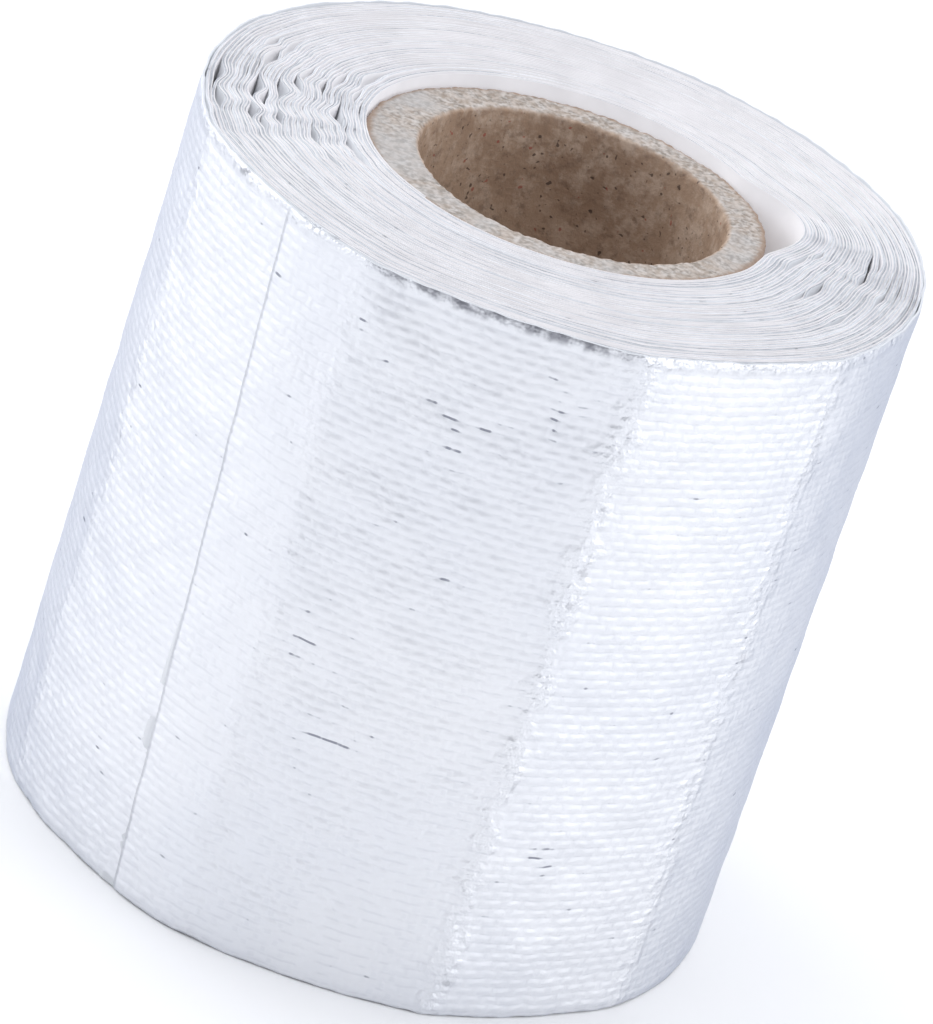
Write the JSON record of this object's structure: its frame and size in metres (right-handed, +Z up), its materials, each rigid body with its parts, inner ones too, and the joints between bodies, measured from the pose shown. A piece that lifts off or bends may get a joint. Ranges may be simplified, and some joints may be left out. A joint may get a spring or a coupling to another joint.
{
  "type": "heat shield tape roll",
  "caption": "Roll of foil-faced woven glass cloth tape with a paper release liner, wound on a cardboard core that stands a little inside both ends.",
  "frame": {"origin": "centre of the lower end, on the surface that the roll stands on", "axes": "+Z up along the roll's axis; -Y is the front of the picture and +X its right"},
  "size_m": [0.0503, 0.0504, 0.05],
  "materials": {
    "foil_cloth": "bright foil pressed onto a plain-woven glass cloth, with the weave showing as fine ridges",
    "liner_paper": "smooth white coated paper",
    "core_board": "grey-brown spiral-wound board with speckled cut ends"
  },
  "bodies": {
    "root": {"cardboard_core": "core_board", "release_liner": "liner_paper", "tape_roll": "foil_cloth"}
  },
  "joints": []
}
